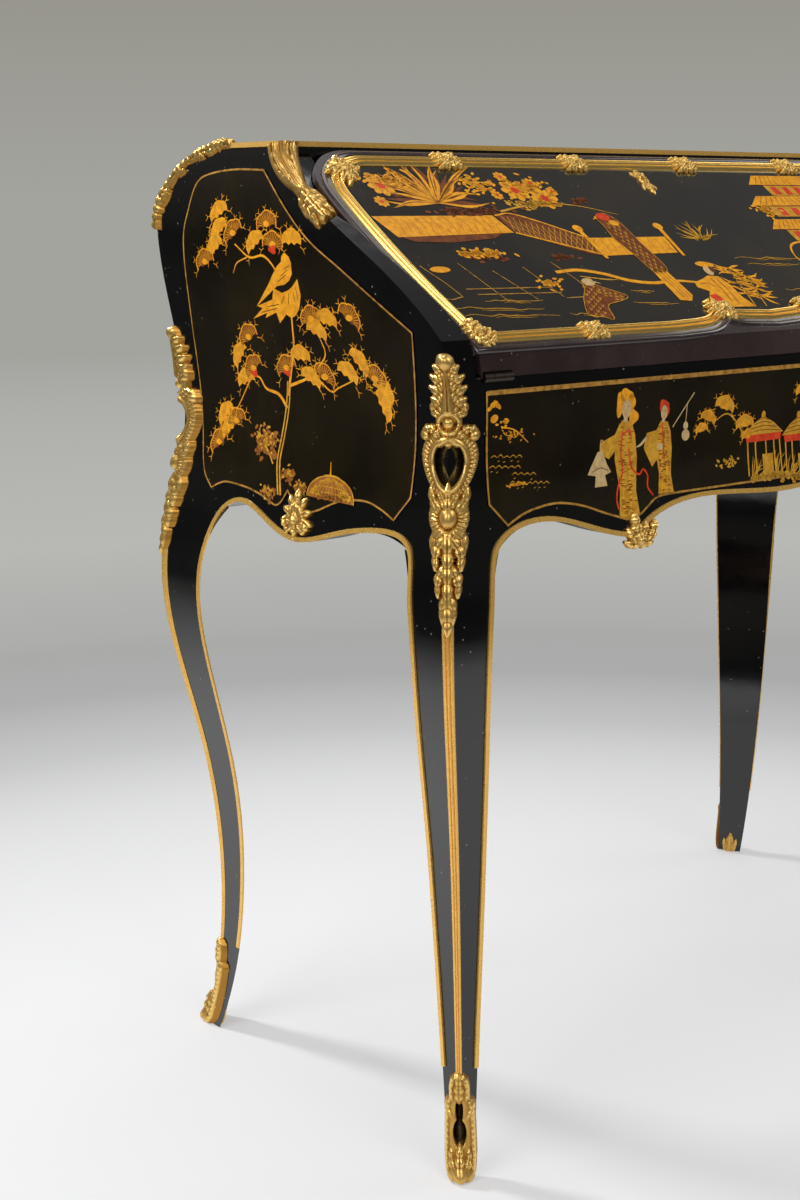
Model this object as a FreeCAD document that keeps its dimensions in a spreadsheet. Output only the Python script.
# Slant-front desk with cabriole legs, a lid that falls forward to make the writing surface, a fitted interior
# and gilt-bronze mounts. Millimetres. The front faces -Y, +X is to the right of someone facing it, +Z is up,
# and the origin lies on the floor under the middle of the desk.

import FreeCAD, Part
import math
import os
import re
from types import SimpleNamespace

import Sketcher
from FreeCAD import Placement, Rotation, Vector

doc = FreeCAD.newDocument("slant_front_desk")

# Driving sizes: name, number, meaning
SIZES = (
    ("foot_half_width", 405, "middle to the upright line that the corner arris is set from, along the width"),
    ("foot_half_depth", 202, "the same along the depth"),
    ("ankle_height", 150, "floor to the thinnest part of the leg's curve"),
    ("shin_height", 310, "floor to the middle of the leg's curve"),
    ("knee_height", 500, "floor to the knee, where the leg stands out most"),
    ("waist_rise", 145, "knee to the waist of the carcass"),
    ("hinge_rise", 73, "waist to the hinge line and the writing surface"),
    ("bulge_rise", 102, "hinge line to the upper bulge of the sides"),
    ("crown_rise", 105, "upper bulge to the top"),
    ("toe_side", 9, "sideways set of the arris from that line, at the floor"),
    ("ankle_side", -2, "the same at the ankle"),
    ("shin_side", 13.5, "the same at the shin"),
    ("knee_side", 42.5, "the same at the knee"),
    ("waist_side", 26, "the same at the waist"),
    ("bulge_side", 44, "the same at the upper bulge"),
    ("crown_side", 34, "the same at the top"),
    ("toe_face", 6, "forward or backward set of the arris from its line, at the floor"),
    ("ankle_face", -11.5, "the same at the ankle"),
    ("shin_face", 1, "the same at the shin"),
    ("knee_face", 26, "the same at the knee"),
    ("waist_front", 7, "the same at the waist, on the front"),
    ("hinge_front", 10, "the same at the hinge line, on the front"),
    ("brow_rise", 34.6, "hinge line to the top of the front corner"),
    ("brow_front", 9.5, "forward set at the top of the front corner"),
    ("waist_back", 8, "backward set of the arris from its line, at the waist"),
    ("shoulder_back", 27, "the same at the foot of the back shoulder"),
    ("shoulder_drop", 85, "top to the foot of the rounded back shoulder"),
    ("shoulder_depth", 124, "depth of the rounded back shoulder"),
    ("top_flat", 82.5, "depth of the flat part of the top"),
    ("top_thickness", 12, "thickness of the top board"),
    ("foot_width", 16, "width of each outer face of a front leg at the floor"),
    ("knee_width", 50, "the same at the knee"),
    ("spring_width", 58, "the same where the apron springs from the leg"),
    ("back_foot_width", 26, "width of a back leg's side face at the floor"),
    ("back_knee_width", 72, "the same at the knee"),
    ("spring_rise", 67, "knee to the springing of the apron"),
    ("post_inset_width", 21, "line of the arris to the inner face of the corner post, along the width"),
    ("post_inset_depth", 36, "line of the arris to the inner face of the corner post, along the depth"),
    ("side_wall", 23, "thickness of the side panels at the waist"),
    ("front_wall", 22, "thickness of the frieze at the waist"),
    ("back_wall", 20, "thickness of the back panel at the waist"),
    ("arch_rise", 87, "knee to the arch of the front apron"),
    ("arch_in", 56, "post to the crown of that arch"),
    ("dip_rise", 61, "knee to the point of the front apron"),
    ("dip_in", 169, "post to that point"),
    ("centre_rise", 82, "knee to the middle of the front apron"),
    ("centre_lead", 30, "point of the front apron to the start of its raised middle"),
    ("side_arch_rise", 75, "knee to the arches of the side aprons"),
    ("side_arch_in", 52, "post to the crown of those arches"),
    ("side_dip_rise", 51, "knee to the dip in the middle of the side aprons"),
    ("bottom_rise", 94, "knee to the underside of the bottom board"),
    ("bottom_thickness", 10, "thickness of the bottom board"),
    ("bed_thickness", 18, "thickness of the writing bed"),
    ("lid_thickness", 19, "thickness of the lid"),
    ("lid_inset", 9, "line of the arris in to the lower ends of the lid"),
    ("lid_bow", 30, "swell of the lid's ends over their lower corners"),
    ("lid_gap", 0.5, "clearance round the lid"),
    ("lid_top_step", 11.5, "top down to the upper edge of the lid"),
    ("lid_top_gap", 10, "front of the top board to the upper edge of the lid"),
    ("lid_corner", 58, "radius of the lid's upper corners"),
    ("lip_overhang", 6, "width of the lid's lipping beyond the board"),
    ("lip_thickness", 6, "thickness of the lid's lipping"),
    ("slope_rise", 9.5, "lid's face up to the sloping edge of the sides, at the front"),
    ("slope_swell", 10.5, "the same halfway up"),
    ("slope_sag", 6.5, "lid's face down to the sloping edge, behind the front shoulder"),
    ("slope_shoulder", 62, "front of the top board to the lowest part of that sag"),
    ("rail_depth", 22, "depth of the rail under the top"),
    ("rail_height", 28, "height of that rail"),
    ("rail_gap", 1.8, "lid to the rail"),
    ("frame_inset", 6, "edge of the lid to its gilt frame"),
    ("frame_width", 13, "width of the gilt frame"),
    ("frame_height", 2.5, "height of the gilt frame's flanks"),
    ("bead_width", 5, "width of the gilt frame's middle bead"),
    ("bead_height", 4.5, "height of that bead"),
    ("frame_corner", 60, "radius of the gilt frame's upper corners"),
    ("frame_foot", 7, "lower edge of the lid's face to its gilt frame"),
    ("cusp_half", 65, "middle to the cusps in the lower side of the gilt frame"),
    ("cusp_rise", 20, "height of those cusps"),
    ("leather_margin", 42, "edge of the lid to the writing leather"),
    ("leather_thickness", 1.5, "thickness of the writing leather"),
    ("lock_width", 60, "width of the lid's lock"),
    ("lock_depth", 45, "depth of the lid's lock"),
    ("lock_thickness", 10, "thickness of the lid's lock"),
    ("bolt_width", 24, "width of the lock bolt"),
    ("bolt_thickness", 4, "thickness of the lock bolt"),
    ("bolt_length", 30, "length of the lock bolt"),
    ("bolt_throw", 12, "travel of the lock bolt"),
    ("bolt_fit", 0.3, "clearance round the lock bolt"),
    ("hinge_length", 33, "length of a hinge"),
    ("hinge_leaf", 24, "width of a hinge leaf from the pin"),
    ("leaf_thickness", 2, "thickness of a hinge leaf"),
    ("knuckle_radius", 4, "radius of the hinge knuckles"),
    ("pin_radius", 1.8, "radius of a hinge pin"),
    ("pin_fit", 0.08, "running clearance of the pin"),
    ("hinge_fit", 0.4, "clearance round the knuckles"),
    ("gradin_set", 1.5, "back of the rail to the front of the interior fitting"),
    ("drawer_rise", 62, "writing bed to the shelf of the interior fitting"),
    ("shelf_thickness", 8, "thickness of that shelf"),
    ("drawer_width", 254, "width of a drawer's bay"),
    ("partition_thickness", 8, "thickness of those partitions"),
    ("divider_thickness", 6, "thickness of the pigeonhole dividers"),
    ("drawer_fit", 0.6, "clearance round the drawers"),
    ("drawer_stop", 8, "back of a drawer to the corner posts"),
    ("drawer_front_thickness", 10, "thickness of a drawer front"),
    ("drawer_wall", 6, "thickness of a drawer's walls"),
    ("drawer_bottom", 5, "thickness of a drawer's bottom"),
    ("knob_radius", 6, "radius of a drawer knob"),
    ("knob_length", 14, "length of a drawer knob"),
    ("knob_spacing", 120, "distance between the two knobs of a drawer"),
    ("well_half", 128, "middle to the inner walls of the well"),
    ("well_set", 30, "inner face of the frieze back to the front of the well"),
    ("well_length", 140, "length of the well"),
    ("well_wall", 8, "thickness of the well's walls"),
    ("cover_ledge", 12, "ledge that carries the well cover"),
    ("cover_thickness", 8, "thickness of the well cover"),
    ("cover_fit", 0.5, "clearance round the well cover"),
    ("cover_travel", 135, "travel of the well cover"),
    ("thumb_length", 34, "length of the thumb notch in the well cover"),
    ("thumb_width", 12, "width of that notch"),
    ("thumb_depth", 3, "depth of that notch"),
    ("fillet_width", 4.5, "width of the gilt edge fillets"),
    ("fillet_proud", 1.8, "height of the gilt edge fillets"),
    ("arris_width", 5, "reach of the arris fillets from the arris, seen along the diagonal"),
    ("top_fillet_height", 5, "height of the gilt fillet at the top"),
    ("sabot_height", 92, "height of a sabot"),
    ("sabot_cup", 16, "height of the sabot's cup round the foot"),
    ("sabot_proud", 2.6, "thickness of a sabot"),
    ("chute_rise", 5, "knee up to the tip of the corner chutes"),
    ("chute_over", 19, "hinge line up to the top of the corner chutes"),
    ("chute_half", 19, "half the width of the corner chutes, seen along the diagonal"),
    ("chute_proud", 4, "thickness of the corner chutes"),
    ("strip_proud", 3, "thickness of the shoulder mounts"),
    ("strip_width", 13, "width of the back shoulder mounts"),
    ("leaf_reach", 84, "front of the top board to the tip of the front shoulder mounts"),
    ("leaf_drop", 16, "sloping edge down to the lower side of the front shoulder mounts"),
    ("clasp_half", 17, "half the width of the apron clasps"),
    ("clasp_height", 34, "height of the apron clasps"),
    ("clasp_proud", 5, "thickness of the apron clasps"),
    ("frame_clasp_half", 15, "half the length of the clasps on the gilt frame"),
    ("frame_clasp_width", 10, "half the width of those clasps"),
    ("frame_clasp_height", 7, "height of those clasps"),
    ("escutcheon_half", 9, "half the width of the keyhole escutcheon"),
    ("escutcheon_length", 34, "length of the keyhole escutcheon"),
    ("escutcheon_height", 3, "height of the keyhole escutcheon"),
)

# Places worked out from the driving sizes: name, formula, meaning
PLACES = (
    ("waist_height", "knee_height + waist_rise", "floor to the waist"),
    ("hinge_height", "waist_height + hinge_rise", "floor to the hinge line and the writing surface"),
    ("bulge_height", "hinge_height + bulge_rise", "floor to the upper bulge"),
    ("height", "bulge_height + crown_rise", "floor to the top"),
    ("spring_height", "knee_height + spring_rise", "floor to the springing of the aprons"),
    ("post_x", "foot_half_width - post_inset_width", "inner face of the corner posts, along the width"),
    ("post_y", "foot_half_depth - post_inset_depth", "inner face of the corner posts, along the depth"),
    ("side_inner", "foot_half_width + waist_side - side_wall", "inner face of the side panels"),
    ("front_inner", "foot_half_depth + waist_front - front_wall", "inner face of the frieze"),
    ("back_inner", "foot_half_depth + waist_back - back_wall", "inner face of the back panel"),
    ("back_outer", "foot_half_depth + shoulder_back", "back of the shoulder"),
    ("shoulder_start", "back_outer - shoulder_depth", "where the flat top ends"),
    ("top_front", "shoulder_start - top_flat", "front edge of the top board"),
    ("shoulder_foot", "height - shoulder_drop", "foot of the back shoulder"),
    ("under_top", "height - top_thickness", "underside of the top board"),
    ("chute_bottom", "knee_height + chute_rise", "floor to the tip of the corner chutes"),
    ("chute_length", "hinge_height + chute_over - chute_bottom", "length of the corner chutes"),
    ("lid_half_width", "foot_half_width - lid_inset", "middle to the lower ends of the lid"),
    ("hinge_y", "-(foot_half_depth + hinge_front)", "hinge line"),
    ("lid_run", "top_front - lid_top_gap - hinge_y", "hinge line back to the upper edge of the lid"),
    ("lid_climb", "height - lid_top_step - hinge_height", "hinge line up to the upper edge of the lid"),
    ("lid_reach", "sqrt(lid_run^2 + lid_climb^2)", "hinge line to the upper edge of the lid"),
    ("lid_angle", "acos(lid_thickness / lid_reach) - atan(lid_run / lid_climb)", "slope of the lid"),
    ("lid_heel", "lid_thickness * tan(lid_angle)", "set-back of the lid's plumb lower edge"),
    ("lid_length", "lid_run * cos(lid_angle) + lid_climb * sin(lid_angle)", "length of the lid"),
    ("lid_back", "hinge_y + lid_length * cos(lid_angle)", "back edge of the lid's inner face"),
    ("bottom_top", "knee_height + bottom_rise + bottom_thickness", "upper face of the bottom board"),
    ("bed_under", "hinge_height - bed_thickness", "underside of the writing bed"),
    ("shelf_under", "hinge_height + drawer_rise", "underside of the interior shelf"),
    ("hinge_end", "lid_half_width - 1", "outer end of a hinge"),
    ("cover_half", "well_half + cover_ledge", "half the width of the well cover's channel"),
    ("well_front", "front_inner - well_set", "middle of the desk forward to the front of the well"),
    ("gradin_front", "lid_back + rail_gap + rail_depth + gradin_set", "front of the interior fitting"),
    ("drawer_depth", "post_y - gradin_front - drawer_stop", "depth of a drawer"),
    ("partition_half", "side_inner - drawer_width - partition_thickness / 2", "middle to the partitions"),
    ("divider_half", "(side_inner + partition_half) / 2", "middle to the outer pigeonhole dividers"),
)

SIZE_NAMES = {row[0] for row in SIZES}
PLACE_NAMES = {row[0] for row in PLACES}


def add_sheet(name, rows):
    sheet = doc.addObject("Spreadsheet::Sheet", name)
    for number, (alias, content, meaning) in enumerate(rows, start=1):
        sheet.set(f"A{number}", meaning)
        sheet.set(f"B{number}", str(content))
        sheet.setAlias(f"B{number}", alias)
    return sheet


def from_sizes(formula):
    """Name the sizes sheet in front of each of its cells in a formula."""
    return re.sub("[a-z_]+", lambda word: "Sizes." * (word.group() in SIZE_NAMES) + word.group(), formula)


def cells(formula):
    """An expression for a property, with each cell's sheet in front of its name."""
    placed = re.sub("[a-z_]+", lambda word: "Places." * (word.group() in PLACE_NAMES) + word.group(), formula)
    return re.sub(
        r"(?<!\.)\b[a-z_]+\b", lambda word: "Sizes." * (word.group() in SIZE_NAMES) + word.group(), placed
    )


sizes_sheet = add_sheet("Sizes", SIZES)
doc.recompute()
places_sheet = add_sheet("Places", [(row[0], "=" + from_sizes(row[1]), row[2]) for row in PLACES])
doc.recompute()

size = SimpleNamespace()
for sheet, names in ((sizes_sheet, SIZE_NAMES), (places_sheet, PLACE_NAMES)):
    for alias in names:
        cell = sheet.get(alias)
        setattr(size, alias, cell.Value if hasattr(cell, "Value") else float(cell))

LEFT, RIGHT = -1, 1
ORIGIN = Vector(0, 0, 0)
CLASP_LOBES = 7
BOW_STATIONS = 5
# Bow of the lid's ends: place along the lid and outward swell, as shares of its length and of the bow
LID_BOW = ((0, 0), (0.37, 0.72), (0.7, 1), (1.1, 0.85))
# How far the bowed lipping moves towards the hinge for each step that it rises out from between the cheeks
LIP_LEAN = 0.6
REACH = 2 * (size.foot_half_width + size.foot_half_depth)
SLOPE = math.radians(size.lid_angle)
LID_PLACE = Placement(Vector(0, size.hinge_y, size.hinge_height), Rotation(Vector(1, 0, 0), size.lid_angle))
# Ovals of a corner chute: middle, half width and half height, as shares of its length and its half width
CHUTE_OVALS = {
    "leaf": (0.9, 0.62, 0.1),
    "neck": (0.79, 0.5, 0.06),
    "cartouche": (0.6, 1, 0.17),
    "boss": (0.4, 0.8, 0.08),
    "husk": (0.25, 0.52, 0.09),
    "tip": (0.09, 0.3, 0.085),
}
CHUTE_OPENING = (0.6, 0.45, 0.09)
CHUTE_DOME = 0.7
# Right-hand outline of a sabot above its cup, from the cup up, as shares of its half width and its height
SABOT_FLARE = 1.5
SABOT_RIM = 1.45
SABOT_OUTLINE = ((1, 0.3), (1.05, 0.55), (0.8, 0.8))
SABOT_OPENING = (0.52, 0.4, 0.2)
SABOT_ACROSS = 0.62
ARRIS_TAPER = 0.55
# Width of a back leg's side face over that of its back face
BACK_LEG_SHARE = 1.8
pieces = []


# Keeping pieces

def keep(name, shape, placement=None, solids=1):
    """Add a piece whose form is made here, and check that it is as many solids as it should be."""
    if len(shape.Solids) != solids:
        raise ValueError(f"{name}: {len(shape.Solids)} solids, not {solids}")
    feature = doc.addObject("Part::Feature", name)
    feature.Shape = shape.Solids[0] if solids == 1 else Part.makeCompound(shape.Solids)
    feature.Label = name
    if placement:
        feature.Placement = placement.multiply(feature.Placement)
    pieces.append(feature)
    return feature


def keep_pair(name, right_shape):
    """Add a right-hand piece and its mirror image."""
    keep(f"{name}_right", right_shape)
    keep(f"{name}_left", right_shape.mirror(ORIGIN, Vector(1, 0, 0)))


# Curves and prisms

def profile_curve(points):
    """Smooth upright curve through (height, outward) points, with the height as its parameter."""
    curve = Part.BSplineCurve()
    curve.interpolate(
        Points=[Vector(out, 0, height) for height, out in points],
        Parameters=[height for height, out in points],
    )
    return curve


def smooth_edge(points):
    curve = Part.BSplineCurve()
    curve.interpolate(Points=points)
    return curve.toShape()


def out_at(curve, height):
    return curve.value(height).x


def face_of(edges):
    return Part.Face(Part.Wire(Part.__sortEdges__(edges)))


def lines(points):
    return [Part.makeLine(start, end) for start, end in zip(points, points[1:])]


def prism_along_y(edges, half_length):
    """Extrude an outline drawn in the XZ plane to both sides."""
    face = face_of(edges)
    face.translate(Vector(0, -half_length, 0))
    return face.extrude(Vector(0, 2 * half_length, 0))


def prism_along_x(edges, low, high):
    """Extrude an outline drawn in the YZ plane from one width to another."""
    face = face_of(edges)
    face.translate(Vector(low, 0, 0))
    return face.extrude(Vector(high - low, 0, 0))


def turned(shape, degrees):
    """Turn a shape about the upright axis: 90 takes outward from +X to +Y, 45 to the corner."""
    copy = shape.copy()
    copy.rotate(ORIGIN, Vector(0, 0, 1), degrees)
    return copy


def mirrored_x(points):
    return [Vector(-point.x, point.y, point.z) for point in points]


def stations(low, high, count):
    return [low + (high - low) * step / count for step in range(count + 1)]


def outward_edges(curve, inner, low, high, shift=0):
    """Outline between a curved outer face, moved outward by shift, and an upright inner face."""
    outer = curve.toShape(low, high)
    outer.translate(Vector(shift, 0, 0))
    top_out = Vector(out_at(curve, high) + shift, 0, high)
    low_out = Vector(out_at(curve, low) + shift, 0, low)
    return [outer] + lines([top_out, Vector(inner, 0, high), Vector(inner, 0, low), low_out])


def outward_solid(curve, inner, low, high, shift=0):
    return prism_along_y(outward_edges(curve, inner, low, high, shift), REACH)


# Outer curves of the desk

def leg_points(toe, ankle, shin, knee, half):
    return [
        (0, half + toe),
        (size.ankle_height, half + ankle),
        (size.shin_height, half + shin),
        (size.knee_height, half + knee),
    ]


side_curve = profile_curve(
    leg_points(size.toe_side, size.ankle_side, size.shin_side, size.knee_side, size.foot_half_width)
    + [
        (size.waist_height, size.foot_half_width + size.waist_side),
        (size.bulge_height, size.foot_half_width + size.bulge_side),
        (size.height, size.foot_half_width + size.crown_side),
    ]
)
face_points = leg_points(
    size.toe_face, size.ankle_face, size.shin_face, size.knee_face, size.foot_half_depth
)
front_curve = profile_curve(
    face_points
    + [
        (size.waist_height, size.foot_half_depth + size.waist_front),
        (size.hinge_height, size.foot_half_depth + size.hinge_front),
        (size.hinge_height + size.brow_rise, size.foot_half_depth + size.brow_front),
    ]
)
# The back curve is upright where the shoulder starts, so it is drawn on past that height and mirrored there
back_curve = profile_curve(
    face_points
    + [
        (size.waist_height, size.foot_half_depth + size.waist_back),
        (size.shoulder_foot, size.back_outer),
        (2 * size.shoulder_foot - size.waist_height, size.foot_half_depth + size.waist_back),
    ]
)


# Side view of the top and of the sloping front edge

def shoulder_arc(inset, end_y):
    """Quarter ellipse of the back shoulder, set in by a thickness, from its foot up to a depth."""
    across = size.shoulder_depth - inset
    rise = size.shoulder_drop - inset
    centre = Vector(0, size.shoulder_start, size.shoulder_foot)
    end_angle = math.acos(min(1, max(0, (end_y - size.shoulder_start) / across)))
    foot = centre + Vector(0, across, 0)
    crown = centre + Vector(0, 0, rise)
    if across >= rise:
        ellipse = Part.Ellipse(foot, crown, centre)
        return ellipse.toShape(0, end_angle)
    ellipse = Part.Ellipse(crown, centre - Vector(0, across, 0), centre)
    return ellipse.toShape(-math.pi / 2, end_angle - math.pi / 2)


def shoulder_point(inset, end_y):
    across = size.shoulder_depth - inset
    rise = size.shoulder_drop - inset
    ratio = (end_y - size.shoulder_start) / across
    return Vector(0, end_y, size.shoulder_foot + rise * math.sqrt(1 - ratio * ratio))


def lid_face_height(y):
    """Height of the lid's outer face over a depth."""
    start = size.hinge_height + size.lid_thickness / math.cos(SLOPE)
    return start + (y - size.hinge_y) * math.tan(SLOPE)


def slope_points():
    """Sloping front edge of the sides, from the front corner up to the top."""
    corner = size.hinge_y - (size.brow_front - size.hinge_front)
    sag_y = size.top_front - size.slope_shoulder
    middle = (corner + sag_y) / 2
    return [
        Vector(0, corner, lid_face_height(corner) + size.slope_rise),
        Vector(0, middle, lid_face_height(middle) + size.slope_swell),
        Vector(0, sag_y, lid_face_height(sag_y) - size.slope_sag),
        Vector(0, size.top_front, size.under_top),
    ]


slope_curve = Part.BSplineCurve()
slope_curve.interpolate(Points=slope_points())


def slope_height(y):
    cut = slope_curve.intersectCS(Part.Plane(Vector(0, y, 0), Vector(0, 1, 0)))[0]
    return cut[0].Z


def slope_edge(start_y, end_y):
    """The part of the sloping edge between two depths."""
    start = slope_curve.parameter(Vector(0, start_y, slope_height(start_y)))
    end = slope_curve.parameter(Vector(0, end_y, slope_height(end_y)))
    return slope_curve.toShape(start, end)


bow_curve = profile_curve([(along * size.lid_length, swell * size.lid_bow) for along, swell in LID_BOW])


def rounded_outline(half, low, high, corner, bottom_edges=None):
    """Outline in the lid's plane with bowed ends and round upper corners, and a shaped lower side if given."""
    end = [
        Vector(half + out_at(bow_curve, along), along, 0)
        for along in stations(low, high - corner, BOW_STATIONS)
    ]
    start = end[-1]
    turn = corner * (1 - math.sqrt(0.5))
    arc = [start, Vector(start.x - turn, high - turn, 0), Vector(start.x - corner, high, 0)]
    edges = []
    for side, bend in ((end, arc), (mirrored_x(end), mirrored_x(arc))):
        edges += [smooth_edge(side), Part.Arc(*bend).toShape()]
    edges += lines([arc[-1], mirrored_x(arc)[-1]])
    edges += bottom_edges if bottom_edges else lines([end[0], mirrored_x(end)[0]])
    return face_of(edges)


def lid_turn_space(half):
    """Space round the hinge line, up to the brow of the posts, for the bowed ends of the lipping to turn in."""
    hinge = Vector(0, size.hinge_y, size.hinge_height)
    along = Vector(0, math.cos(SLOPE), math.sin(SLOPE))
    under = size.lid_thickness - size.lip_thickness
    start = math.hypot(size.lid_heel, under) - size.lid_gap
    reach = size.brow_rise + 3 * size.lid_gap
    far = math.sqrt(reach ** 2 - under ** 2)
    right = [
        hinge + Vector(half, 0, 0),
        hinge + Vector(half + out_at(bow_curve, size.lid_heel), 0, 0) + along * start,
        hinge + Vector(half + out_at(bow_curve, far), 0, 0) + along * reach,
    ]
    outline = right + mirrored_x(right)[::-1]
    return face_of(lines(outline + outline[:1])).revolve(hinge, Vector(1, 0, 0), 180 - math.degrees(SLOPE))


def lid_space():
    """Space that the lid shuts into, between the cheeks, open to the front above the hinge line."""
    along = Vector(0, math.cos(SLOPE), math.sin(SLOPE))
    out = Vector(0, -math.sin(SLOPE), math.cos(SLOPE))
    heel = Vector(0, size.hinge_y, size.hinge_height - size.lid_gap)
    end = heel + along * (size.lid_length + size.lip_overhang)
    high = end + out * REACH
    front = Vector(0, -REACH, heel.z)
    outline = [heel, end, high, Vector(0, -REACH, high.z), front, heel]
    round_lid = size.lip_overhang + size.lid_gap
    half = size.lid_half_width + round_lid
    swing = prism_along_x(lines(outline), -half, half)
    seat_outline = rounded_outline(half, 0, size.lid_length + round_lid, size.lid_corner + round_lid)
    seat = seat_outline.extrude(Vector(0, 0, REACH))
    seat.translate(Vector(0, 0, -size.lid_gap))
    rising = seat_outline.extrude(Vector(0, -LIP_LEAN * REACH, REACH))
    rising.translate(Vector(0, 0, size.lid_thickness - size.lip_thickness - size.lid_gap))
    for space in (seat, rising):
        space.Placement = LID_PLACE.multiply(space.Placement)
    return swing.fuse([seat, rising, lid_turn_space(half)])


# Legs, which run up as the corner posts

def flared(height, foot, knee, spring):
    """Width of a leg's face: an even taper from the floor to the knee, then a flare to the springing."""
    if height <= size.knee_height:
        return foot + (knee - foot) * height / size.knee_height
    share = (height - size.knee_height) / (size.spring_height - size.knee_height)
    return knee + (spring - knee) * share ** 2


def face_width(height):
    """Width of a front leg's outer faces."""
    return flared(height, size.foot_width, size.knee_width, size.spring_width)


def back_side_width(height):
    """Width of a back leg's side face."""
    spring = size.spring_width * BACK_LEG_SHARE
    return flared(height, size.back_foot_width, size.back_knee_width, spring)


def back_face_width(height):
    """Width of a back leg's back face."""
    return back_side_width(height) / BACK_LEG_SHARE


def flare_height():
    """Halfway from the knee to the springing."""
    return (size.knee_height + size.spring_height) / 2


def diagonal_solid(face, side_width, share):
    """Everything outside the inner slanting face of a leg, with the full post above the springing."""
    root = math.hypot(share, 1)
    points = []
    for height in (0, size.ankle_height, size.shin_height, size.knee_height, flare_height(), size.spring_height):
        reach = share * out_at(side_curve, height) + out_at(face, height) - side_width(height)
        points.append((height, reach / root))
    curve = profile_curve(points)
    inner = (share * size.post_x + size.post_y) / root - size.post_inset_depth
    far = share * (size.foot_half_width + size.foot_half_depth + size.knee_side * 4) / root
    spring = Vector(points[-1][1], 0, size.spring_height)
    outline = [
        spring,
        Vector(inner, 0, size.spring_height),
        Vector(inner, 0, size.height),
        Vector(far, 0, size.height),
        Vector(far, 0, 0),
        Vector(points[0][1], 0, 0),
    ]
    edges = [curve.toShape(0, size.spring_height)] + lines(outline)
    return turned(prism_along_y(edges, REACH), math.degrees(math.atan2(1, share)))


def back_post_solid(inner):
    """Solid behind an upright plane, under the back shoulder of the top board."""
    foot_y = size.back_outer - size.top_thickness
    end = shoulder_point(size.top_thickness, inner)
    outer = turned(back_curve.toShape(0, size.shoulder_foot), 90)
    edges = [outer, shoulder_arc(size.top_thickness, inner)]
    edges += lines([Vector(0, size.back_outer, size.shoulder_foot), Vector(0, foot_y, size.shoulder_foot)])
    edges += lines([end, Vector(0, inner, 0), Vector(0, out_at(back_curve, 0), 0)])
    return prism_along_x(edges, -REACH, REACH)


def front_post_solid(inner):
    """Solid in front of an upright plane, under the sloping front edge, mirrored to lie behind."""
    corner = slope_points()[0]
    end = Vector(0, -inner, slope_height(-inner))
    low_front = Vector(0, corner.y - size.brow_rise, 0)
    high_front = Vector(0, low_front.y, corner.z)
    edges = [slope_edge(corner.y, end.y)]
    edges += lines([end, Vector(0, end.y, 0), low_front, high_front, corner])
    under_slope = prism_along_x(edges, -REACH, REACH).mirror(ORIGIN, Vector(0, 1, 0))
    brow = size.hinge_height + size.brow_rise
    brow_out = Vector(out_at(front_curve, brow), 0, brow)
    body = [front_curve.toShape(0, brow)] + lines(
        [
            brow_out,
            Vector(brow_out.x, 0, size.height),
            Vector(inner, 0, size.height),
            Vector(inner, 0, 0),
            Vector(out_at(front_curve, 0), 0, 0),
        ]
    )
    return turned(prism_along_y(body, REACH), 90).common(under_slope)


def hinge_cutter(radius, low, high):
    """Cylinder about the hinge line, on the right."""
    return Part.makeCylinder(
        radius, high - low, Vector(low, size.hinge_y, size.hinge_height), Vector(1, 0, 0)
    )


def leg_solid(face, post_solid, inside):
    """Leg and post: both curved outer faces, all that is outside its inner face, and a square post above."""
    by_side = outward_solid(side_curve, size.post_x - size.knee_width, 0, size.height)
    by_face = post_solid(size.post_y - size.knee_width)
    leg = by_side.common(by_face).common(inside)
    spring = Vector(0, 0, size.spring_height)
    room_across = Part.makeBox(size.post_x, REACH, REACH, spring)
    room_along = Part.makeBox(REACH, size.post_y, REACH, spring)
    return leg.cut(room_across).cut(room_along)


def hinge_leaf_recess():
    """Recess for the fixed leaf of the right-hand hinge, in the top of the post and the frieze."""
    start = Vector(
        size.hinge_end - size.hinge_length,
        size.hinge_y,
        size.hinge_height - size.lid_gap - size.leaf_thickness,
    )
    return Part.makeBox(size.hinge_length, size.hinge_leaf, size.leaf_thickness + size.lid_gap, start)


def hinge_recess():
    """Room for the knuckles and the fixed leaf of the right-hand hinge."""
    barrel = hinge_cutter(
        size.knuckle_radius + size.hinge_fit,
        size.hinge_end - size.hinge_length - size.hinge_fit,
        size.hinge_end + size.hinge_fit,
    )
    return barrel.fuse(hinge_leaf_recess())


def make_legs():
    inside = diagonal_solid(front_curve, face_width, 1)
    front = leg_solid(front_curve, front_post_solid, inside).mirror(ORIGIN, Vector(0, 1, 0))
    front = front.cut(lid_space()).cut(hinge_recess())
    keep_pair("leg_front", front)
    inside = diagonal_solid(back_curve, back_side_width, BACK_LEG_SHARE)
    keep_pair("leg_back", leg_solid(back_curve, back_post_solid, inside))


# Panels between the posts

def back_spring_y():
    """Depth where the side apron springs from the back leg, which is wider than the front one."""
    return size.post_y - size.spring_width * (BACK_LEG_SHARE - 1)


def side_apron_points():
    """Lower edge of a side apron, from the back leg to the front leg."""
    crown = size.knee_height + size.side_arch_rise
    dip = size.knee_height + size.side_dip_rise
    front_arch = size.post_y - size.side_arch_in
    back_arch = back_spring_y() - size.spring_width / 3
    places = [
        (back_spring_y(), size.spring_height),
        (back_arch, crown),
        (back_arch / 2, (crown + dip) / 2),
        (0, dip),
        (-front_arch / 2, (crown + dip) / 2),
        (-front_arch, crown),
        (-size.post_y, size.spring_height),
    ]
    return [Vector(0, y, z) for y, z in places]


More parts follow.
